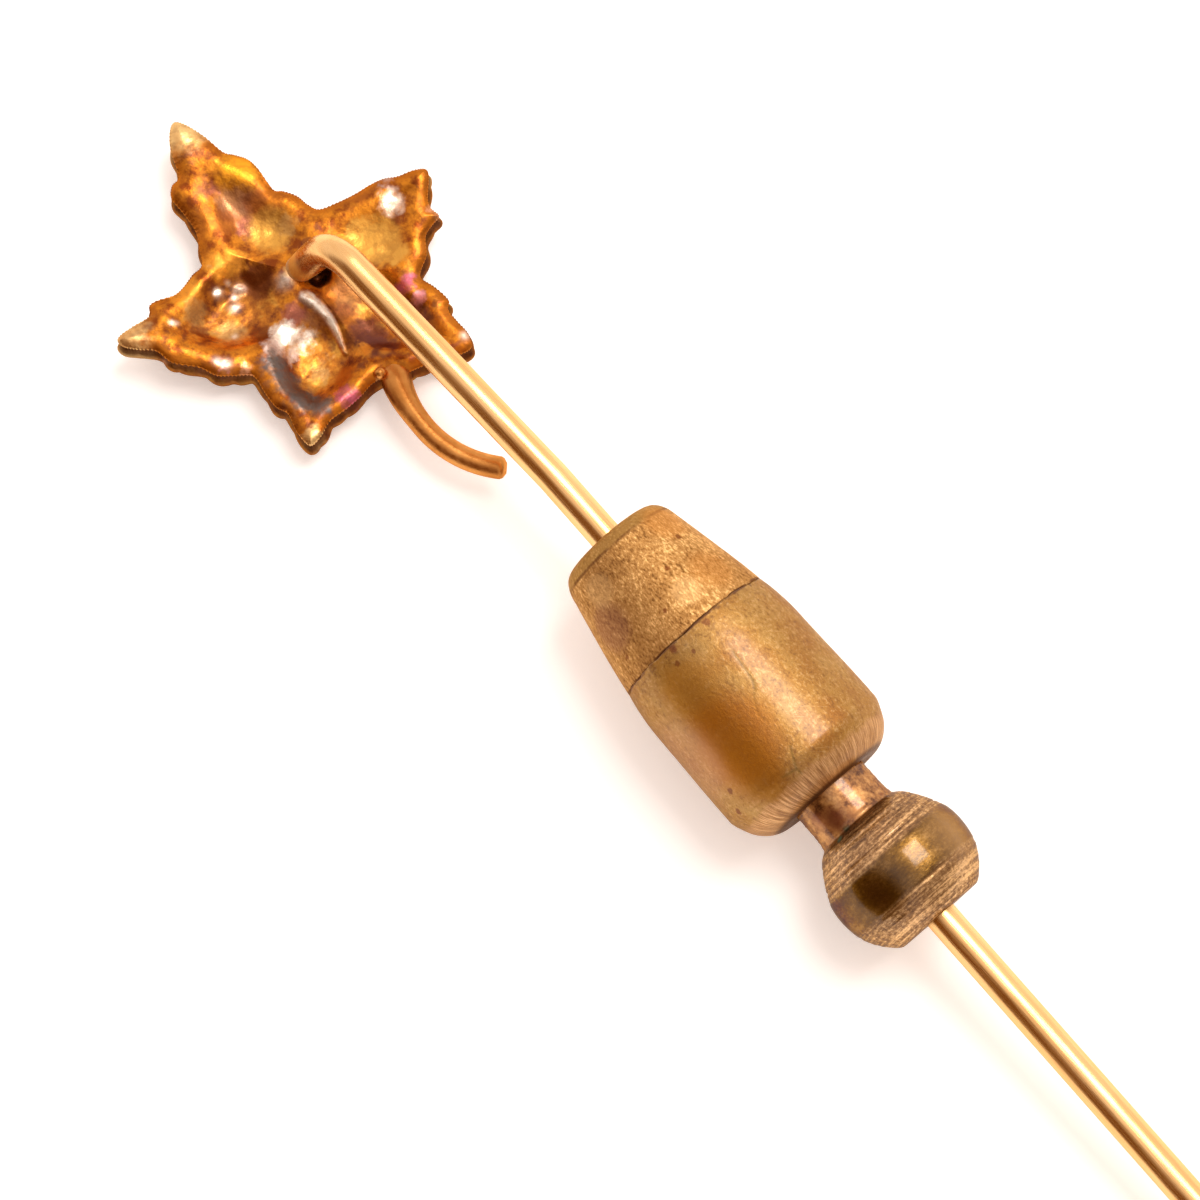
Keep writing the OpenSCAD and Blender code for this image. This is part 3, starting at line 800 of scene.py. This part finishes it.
def wire(path, material):
    station = (path - NOSE_END) @ WAY
    radius = WIRE_R + (SHAFT_R - WIRE_R) * smooth(station, -SET_BACK, CLUTCH_L)
    radius = POINT_R + (radius - POINT_R) * np.clip((TIP - station) / POINT_L, 0, 1)
    from_foot = np.linalg.norm(path - path[0], axis=1)
    radius *= 1 - FOOT_THINNING + FOOT_THINNING * smooth(from_foot, *FOOT_FADE)
    points, faces = tube(path, radius, 48)
    make_mesh("pin_wire", points, faces, material, "pin", "leaf_pin")


# The leaf

# Outline of the leaf round its middle: bearing in degrees, reach as a share of LEAF_REACH
LEAF_OUTLINE = [
    (0, 0.72), (7, 0.78), (12, 0.815), (18, 0.88), (23, 0.96), (26, 0.975), (29, 0.93), (32, 0.855),
    (35, 0.8), (38.5, 0.79), (43, 0.71), (46.5, 0.645), (50, 0.635), (57, 0.67), (65, 0.685),
    (68.5, 0.73), (71, 0.78), (75, 0.76), (79, 0.77), (84, 0.82), (87.5, 0.845), (90, 0.81),
    (93, 0.725), (97, 0.665), (100, 0.6), (103.5, 0.51), (109, 0.435), (119, 0.365), (129, 0.375),
    (137, 0.41), (147, 0.44), (153, 0.46), (158, 0.585), (161, 0.645), (165, 0.685), (169, 0.725),
    (172, 0.835), (174.5, 0.925), (177, 0.98), (180, 0.955), (184, 0.875), (188.5, 0.76), (193, 0.755),
    (197, 0.72), (200, 0.625), (205, 0.535), (215, 0.48), (224, 0.455), (230, 0.495), (237, 0.54),
    (241.5, 0.6), (244, 0.715), (249, 0.74), (251.5, 0.84), (253.5, 0.92), (256.5, 0.915), (259.5, 0.86),
    (263, 0.785), (270, 0.755), (278, 0.675), (286, 0.65), (293, 0.6), (301, 0.57), (308, 0.635),
    (314, 0.705), (319, 0.74), (322, 0.83), (326, 0.91), (330, 0.87), (334, 0.8), (341, 0.765),
    (348, 0.735), (354, 0.71),
]
# Lobes of the leaf: bearings of the ribs on its two sides, lift of its tip as a share of LEAF_HOLLOW
LOBES = [(-4, 50, 0.0), (50, 119, 0.25), (119, 224, 0.3), (224, 298, 0.5), (298, 356, 0.0)]
# Hollows in the leaf's back: place, bearing in degrees, half length, half width, share of HOLLOW_DEPTH
HOLLOWS = [
    (-2.05, 0.2, 177, 1.85, 1.1, 0.45), (-0.33, -2.05, 252, 1.8, 1.4, 0.9),
    (2.6, -1.2, 327, 1.95, 1.35, 1.0), (2.95, 1.3, 28, 2.15, 1.4, 0.75),
    (0.65, 2.75, 100, 1.65, 1.15, 0.4),
]
HOLLOW_DEPTH = 0.6
# Shares of a hollow's half sizes, and distances from the edge, between which the hollows fade
HOLLOW_FADE = (0.35, 1.2)
EDGE_FADE = (0.2, 1.2)
# The power of the hollows' outlines, where 2 is an ellipse
HOLLOW_POWER = 2.3
# Dents in the leaf's back, and bumps with a depth below 0: place, radius and depth
DENTS = [
    (0.48, 0.5, 0.3, 0.45), (-0.95, -1.9, 0.11, -0.07), (-0.75, -1.35, 0.13, -0.08),
    (-0.45, -1.8, 0.12, -0.07), (-1.15, -1.62, 0.1, -0.05), (-0.05, -0.15, 0.45, -0.12),
]
# A field of small pebbles on the leaf's back: place and radius
PEBBLES = (-0.85, -1.2, 0.6)
# A sharp ridge between two of the hollows: places along it, length, height, half width, and how much
# narrower it gets with each mm
RIDGE = [(0.8, -0.16), (1.45, -0.06), (2.0, -0.13), (2.65, -0.34)]
RIDGE_L = 2
RIDGE_H = 0.08
RIDGE_W = 0.17
RIDGE_NARROWING = 0.06
# Spots on the leaf's back that catch the light: place and radius
GLINTS = [
    (-4.5, 0.05, 0.4), (-3.25, 0.7, 0.45), (0.92, -0.14, 0.25), (1.45, -0.06, 0.2), (0.3, 3.4, 0.5),
    (1.2, -1.3, 0.35), (1.75, -0.95, 0.5), (-1.55, -1.45, 0.3), (0.9, -3.15, 0.25), (2.6, 2.2, 0.3),
    (4.55, 2.35, 0.2), (4.15, 0.85, 0.2), (4.05, -2.45, 0.25), (-0.9, -3.5, 0.15), (-0.95, -1.9, 0.14),
    (-0.75, -1.35, 0.14), (-0.45, -1.8, 0.12), (0.0, -0.1, 0.2), (0.35, -3.5, 0.2), (-0.3, -4.05, 0.2),
    (1.3, -2.7, 0.2),
]
# How far round a glint's place its slope is taken
PROBE = 0.06
# Painted highlights on the leaf's back, as pale spots: place and radius
PAINTED_HIGHLIGHT_SPOTS = [
    (-0.95, -1.9, 0.13), (-0.73, -1.38, 0.15), (-0.42, -1.81, 0.14), (-1.02, -1.52, 0.07),
    (-0.62, -1.6, 0.1), (0.3, -2.35, 0.08), (-0.91, -3.5, 0.08), (-0.83, -3.42, 0.07), (0.05, -0.35, 0.2),
    (0.92, -3.13, 0.14), (0.74, -3.24, 0.12), (4.6, 2.4, 0.12),
]
# Scallops along the front's edge: the length of each, how far they wander along it, and their depth
SCALLOP_L = 0.7
SCALLOP_WANDER = 0.5
SCALLOP_OUT = 0.05
# How far the front stands out beyond the back, and the side between them draws in
FRONT_OUT = 0.04
SIDE_IN = 0.13
# The back's rounded edge: how wide it is, and how far it drops
EDGE_ROUND = 0.5
EDGE_DROP = 0.26
# Rows of points, as shares of the way to the edge, and down the side
BACK_SHARES = np.concatenate([np.linspace(0.02, 0.9, 52), np.linspace(0.9, 1, 15)[1:]])
SIDE_SHARES = np.linspace(0, 1, 9)[1:-1]
FRONT_SHARES = np.linspace(1, 0.02, 24)
# Points between two of the outline's knots
OUTLINE_STEPS = 10


def leaf_outline():
    """Points of the leaf's edge round its middle, in mm."""
    bearing, share = np.array(LEAF_OUTLINE).T
    bearing = np.radians(bearing)
    knots = LEAF_REACH * share[:, None] * np.stack([np.cos(bearing), np.sin(bearing)], axis=1)
    around = np.vstack([knots[-2:], knots, knots[:3]])
    fine = curve_through(around, OUTLINE_STEPS)
    return fine[2 * OUTLINE_STEPS:(2 + len(knots)) * OUTLINE_STEPS]


def lobe_values(flat):
    """How far into its lobe, from 0 to 1, and the lift of its tip, at points round the leaf's middle."""
    bearing = np.degrees(np.arctan2(flat[..., 1], flat[..., 0]))
    bearing = (bearing - LOBES[0][0]) % 360 + LOBES[0][0]
    across, lift = np.zeros_like(bearing), np.zeros_like(bearing)
    for low, high, rise in LOBES:
        inside = (bearing >= low) & (bearing < high)
        across[inside] = (bearing[inside] - low) / (high - low)
        lift[inside] = rise
    return np.sin(math.pi * across).clip(0), lift


def level(flat):
    """Height of the leaf's rim, dished to its middle and with raised lobes, carried on across the leaf."""
    reach = np.linalg.norm(flat, axis=-1) / LEAF_REACH
    across, lift = lobe_values(flat)
    raised = lift * LEAF_HOLLOW * across**2 * smooth(reach, 0.3, 0.95)
    return RIM_Z + raised - LEAF_DISH * (1 - reach).clip(0)


def spot(flat, x, y, radius):
    """A round spot's share at each point, fading from 1 in its middle."""
    return np.exp(-((flat[..., 0] - x) ** 2 + (flat[..., 1] - y) ** 2) / radius**2)


def edge_distance(flat, edge):
    """Distance in mm from points to the leaf's edge, or to every other point of another line."""
    rows = [np.linalg.norm(row[:, None] - edge[None, ::2], axis=2).min(axis=1) for row in flat]
    return np.array(rows)


def on_ridge(flat):
    """How far each point is on the ridge, from 0 to 1."""
    width = RIDGE_W - RIDGE_NARROWING * (flat[..., 0] - RIDGE[0][0]).clip(0, RIDGE_L)
    return np.exp(-((edge_distance(flat, curve_through(RIDGE, 12)) / width) ** 4))


def soft_back(flat, edge):
    """Height of the leaf's back without fine relief, and how far each point is in a hollow, from 0 to 1."""
    hollow = np.zeros(flat.shape[:-1])
    for x, y, turn, length, width, depth in HOLLOWS:
        turn = math.radians(turn)
        dx, dy = flat[..., 0] - x, flat[..., 1] - y
        u = (dx * math.cos(turn) + dy * math.sin(turn)) / length
        v = (dy * math.cos(turn) - dx * math.sin(turn)) / width
        ring = (np.abs(u) ** HOLLOW_POWER + np.abs(v) ** HOLLOW_POWER) ** (1 / HOLLOW_POWER)
        hollow = np.maximum(hollow, depth * (1 - smooth(ring, *HOLLOW_FADE)))
    inside = edge_distance(flat, edge)
    hollow = hollow * smooth(inside, *EDGE_FADE)
    near = (1 - inside / EDGE_ROUND).clip(0)
    height = level(flat) - HOLLOW_DEPTH * hollow - EDGE_DROP * (1 - np.sqrt(1 - near**2))
    for x, y, radius, depth in DENTS:
        height -= depth * spot(flat, x, y, radius)
    return height + RIDGE_H * on_ridge(flat), hollow


def glint_tilts(flat, edge):
    """Height to add so that the glints' places face half way between the key light and the viewer."""
    half = (as_seen(*KEY_WAY) + as_seen(*VIEW_WAY)).normalized()
    wanted = -np.array(half[:2]) / half[2]
    added = np.zeros(flat.shape[:-1])
    for x, y, radius in GLINTS:
        probe = np.array([[[x + PROBE, y], [x - PROBE, y], [x, y + PROBE], [x, y - PROBE]]])
        height = soft_back(probe, edge)[0][0]
        slope = np.array([height[0] - height[1], height[2] - height[3]]) / (2 * PROBE)
        added += ((flat - np.array([x, y])) @ (wanted - slope)) * spot(flat, x, y, radius)
    return added


def front_height(flat, share):
    """Height of the leaf's front, rounded under each lobe, at shares of the way to the edge."""
    across = lobe_values(flat)[0] ** 0.7
    depth = np.maximum(
        LEAF_SHEET + LEAF_DISH * (1 - share),
        (LEAF_HOLLOW + LEAF_SHEET) * across * np.minimum(1, share / 0.3),
    )
    edge = LEAF_EDGE_H + (depth - LEAF_EDGE_H).clip(0) * np.sqrt((1 - share**6).clip(0))
    return RIM_Z + (level(flat) - RIM_Z) * smooth(share, 0.5, 1) - edge


def leaf_back(edge):
    """Points of the leaf's back, and how much of rim, border and painted highlight each is."""
    flat = BACK_SHARES[:, None, None] * edge
    height, hollow = soft_back(flat, edge)
    places = np.dstack([flat, 0 * height])
    height += (0.015 + 0.04 * spot(flat, *PEBBLES)) * lumps(places, 0.3, 11) + 0.05 * lumps(places, 0.9, 12)
    height += glint_tilts(flat, edge)
    border = 0.8 * (1 - smooth(edge_distance(flat, edge), 0.1, 0.3))
    # Painted highlight along the ridge's top, and in pale spots.
    painted_highlight = on_ridge(flat) * (1 - smooth(flat[..., 0], 1.9, 2.9)) * (0.9 + 0.3 * lumps(places, 0.2, 14))
    for x, y, radius in PAINTED_HIGHLIGHT_SPOTS:
        painted_highlight = np.maximum(painted_highlight, 0.6 * spot(flat, x, y, radius))
    return np.dstack([flat, height]), {"rim": 1 - smooth(hollow, 0.1, 0.6), "border": border, "painted_highlight": painted_highlight}


def leaf_side(edge, rim_z):
    """Points of the leaf's side below its rim, and the front's scalloped edge."""
    out = np.roll(edge, -1, axis=0) - np.roll(edge, 1, axis=0)
    out = np.stack([out[:, 1], -out[:, 0]], axis=1) / np.linalg.norm(out, axis=1)[:, None]
    run = np.cumsum(np.linalg.norm(np.roll(edge, -1, axis=0) - edge, axis=1))
    wander = SCALLOP_WANDER * lumps(np.column_stack([edge, 0 * run]), 1.3, 13)
    scallops = SCALLOP_OUT * np.abs(np.sin(np.pi * (run + wander) / SCALLOP_L))[:, None] + FRONT_OUT
    bottom = level(edge) - LEAF_EDGE_H
    rows = []
    for t in SIDE_SHARES:
        shift = scallops * smooth(t, 0.4, 0.9) - SIDE_IN * math.sin(math.pi * t) ** 2
        rows.append(np.column_stack([edge + shift * out, rim_z + (bottom - rim_z) * t]))
    return np.array(rows), edge + scallops * out


def leaf(middle, material):
    edge = leaf_outline()
    back, marks = leaf_back(edge)
    side, front_edge = leaf_side(edge, back[-1, :, 2])
    flat = FRONT_SHARES[:, None, None] * front_edge
    front = np.dstack([flat, front_height(flat, FRONT_SHARES[:, None])])
    points = np.concatenate([back, side, front]) + np.array([middle[0], middle[1], 0])
    rows, columns = points.shape[:2]
    beyond = np.zeros((rows - len(back), columns))
    marks = {mark: np.vstack([share, beyond]) for mark, share in marks.items()}
    # Painted shade on the leaf's side below the rim, and a lighter share of it over the front.
    dark = np.concatenate([0 * BACK_SHARES, np.sqrt(np.sin(math.pi * SIDE_SHARES)), 0 * FRONT_SHARES + 0.55])
    marks["wall"] = np.repeat(dark[:, None], columns, axis=1)
    faces = grid_faces(rows, columns)
    first, last = rows * columns, rows * columns + 1
    faces += [[first, k, (k + 1) % columns] for k in range(columns)]
    faces += [[last, first - columns + (k + 1) % columns, first - columns + k] for k in range(columns)]
    centres = [[middle[0], middle[1], ring[:, 2].mean()] for ring in (points[0], points[-1])]
    points = np.vstack([points.reshape(-1, 3), centres])
    marks = {mark: np.append(share, [share[0].mean(), share[-1].mean()]) for mark, share in marks.items()}
    make_mesh("leaf", points, faces, material, "pin", "leaf_pin", **marks)


def stalk(middle, material):
    reach = LEAF_REACH * np.interp(math.degrees(STALK_BEARING), *zip(*LEAF_OUTLINE)) - 2 * STALK_R
    root = middle[:2] + reach * np.array([math.cos(STALK_BEARING), math.sin(STALK_BEARING)])
    heading = np.linspace(STALK_FROM, STALK_FROM + STALK_TURN, 60)
    centre = root + STALK_CURVE_R * np.array([-math.sin(STALK_FROM), math.cos(STALK_FROM)])
    x = centre[0] + STALK_CURVE_R * np.sin(heading)
    y = centre[1] - STALK_CURVE_R * np.cos(heading)
    run = np.linspace(0, 1, len(x))
    spread = STALK_R * STALK_ROOT_SPREAD * (1 - smooth(run, 0, STALK_SPREAD_END))
    x += spread * (x - centre[0]) / STALK_CURVE_R
    y += spread * (y - centre[1]) / STALK_CURVE_R
    sink = STALK_ROOT_SINK * (1 - smooth(run, 0, STALK_SINK_END))
    path = np.stack([x, y, RIM_Z - STALK_R - spread - sink], axis=1)
    at_root = ((STALK_ROOT_ROUND - run) / STALK_ROOT_ROUND).clip(0, 0.97)
    at_end = ((run - STALK_END_ROUND) / (1.005 - STALK_END_ROUND)).clip(0)
    radius = (STALK_R + spread) * np.sqrt((1 - at_root**2) * (1 - at_end**2))
    points, faces = tube(path, radius, 40)
    make_mesh("stalk", points, faces, material, "pin", "leaf_pin")
    turn = np.linspace(0, math.pi, 17)
    bead = np.array([middle[0] + BEAD_PLACE[0], middle[1] + BEAD_PLACE[1], RIM_Z - BEAD_SINK])
    line = bead - BEAD_R * np.cos(turn)[:, None] * np.array([[0, 0, 1]])
    points, faces = tube(line, BEAD_R * np.sin(turn) + 0.001, 24)
    make_mesh("stalk_bead", points, faces, material, "pin", "leaf_pin")


# Floor, lights and camera

def as_seen(right, away, up):
    """A direction given as seen in the photograph: to the right, away along the surface, and up."""
    turn = math.radians(CAMERA_AZIMUTH)
    x = right * math.cos(turn) - away * math.sin(turn)
    y = right * math.sin(turn) + away * math.cos(turn)
    return Vector((x, y, up)).normalized()


LOOK_AT = Vector(((NOSE_END[0] + LOOK_ALONG) * MM, (NOSE_END[1] + LOOK_SIDE) * MM, 0))
# Metres: the floor's side, the key light's side, and how far the light is from the middle of the view
FLOOR_SIZE = 1.0
KEY_SIZE = 0.115
KEY_DISTANCE = 0.25


def floor():
    mesh = bpy.data.meshes.new("floor")
    half = FLOOR_SIZE / 2
    corners = [(-half, -half, 0), (half, -half, 0), (half, half, 0), (-half, half, 0)]
    mesh.from_pydata(corners, [], [(0, 1, 2, 3)])
    s = Shader(
        "white_floor", Roughness=0.7, Base_Color=(0.9, 0.9, 0.9, 1),
        Emission_Color=(1, 0.925, 0.88, 1), Emission_Strength=0.38,
    )
    mesh.materials.append(s.material)
    plane = add_to_scene("floor", mesh)


def key_light():
    """The soft light from above, on the right."""
    light = bpy.data.lights.new("key", "AREA")
    light.energy = 0.34
    light.size = KEY_SIZE
    light.color = (1, 0.97, 0.93)
    lamp = add_to_scene("key", light)
    way = as_seen(*KEY_WAY)
    lamp.location = LOOK_AT + KEY_DISTANCE * way
    lamp.rotation_euler = way.to_track_quat("Z", "Y").to_euler()


# The room: its light all round, and what stands in it, by direction as seen, where it
# begins and is full as cosines from that direction, and its light
ROOM = (1.1, 0.95, 0.87)
ROOM_PARTS = [
    ((-0.6, -0.69, 0.3), 0.55, 0.85, (0.22, 0.09, 0.018)),
    ((0.75, 0.6, 0.35), 0.6, 0.95, (1.2, 1.05, 0.95)),
    ((0.85, -0.4, 0.45), 0.7, 0.95, (0.5, 0.4, 0.34)),
]


def surroundings():
    """A bright room, dark brown towards the viewer's left."""
    world = bpy.data.worlds.new("room")
    world.use_nodes = True
    room = Nodes(world.node_tree)
    direction = room.node("TexCoord").outputs["Generated"]
    light = ROOM
    for way, begins, full, colour in ROOM_PARTS:
        dot = room.node("VectorMath", direction, as_seen(*way), operation="DOT_PRODUCT")
        light = room.mix(room.step(dot.outputs["Value"], begins, full), light, colour)
    background = world.node_tree.nodes["Background"].inputs["Color"]
    background.default_value = (*ROOM, 1)
    room.put(background, light)
    bpy.context.scene.world = world


def camera():
    data = bpy.data.cameras.new("camera")
    data.lens = CAMERA_LENS
    data.sensor_width = 36
    data.clip_start = 0.001
    eye = add_to_scene("camera", data)
    back = as_seen(*VIEW_WAY)
    eye.location = LOOK_AT + CAMERA_DISTANCE * MM * back
    eye.rotation_euler = back.to_track_quat("Z", "Y").to_euler()
    bpy.context.scene.camera = eye


camera()
surroundings()
key_light()
floor()
path, foot = wire_path()
wire(path, gold_wire(foot))
middle = foot + LEAF_SHIFT
leaf(middle, tinted_gold(middle))
stalk(middle, rose_gold())
clutch()
bpy.context.scene.view_settings.view_transform = "Standard"
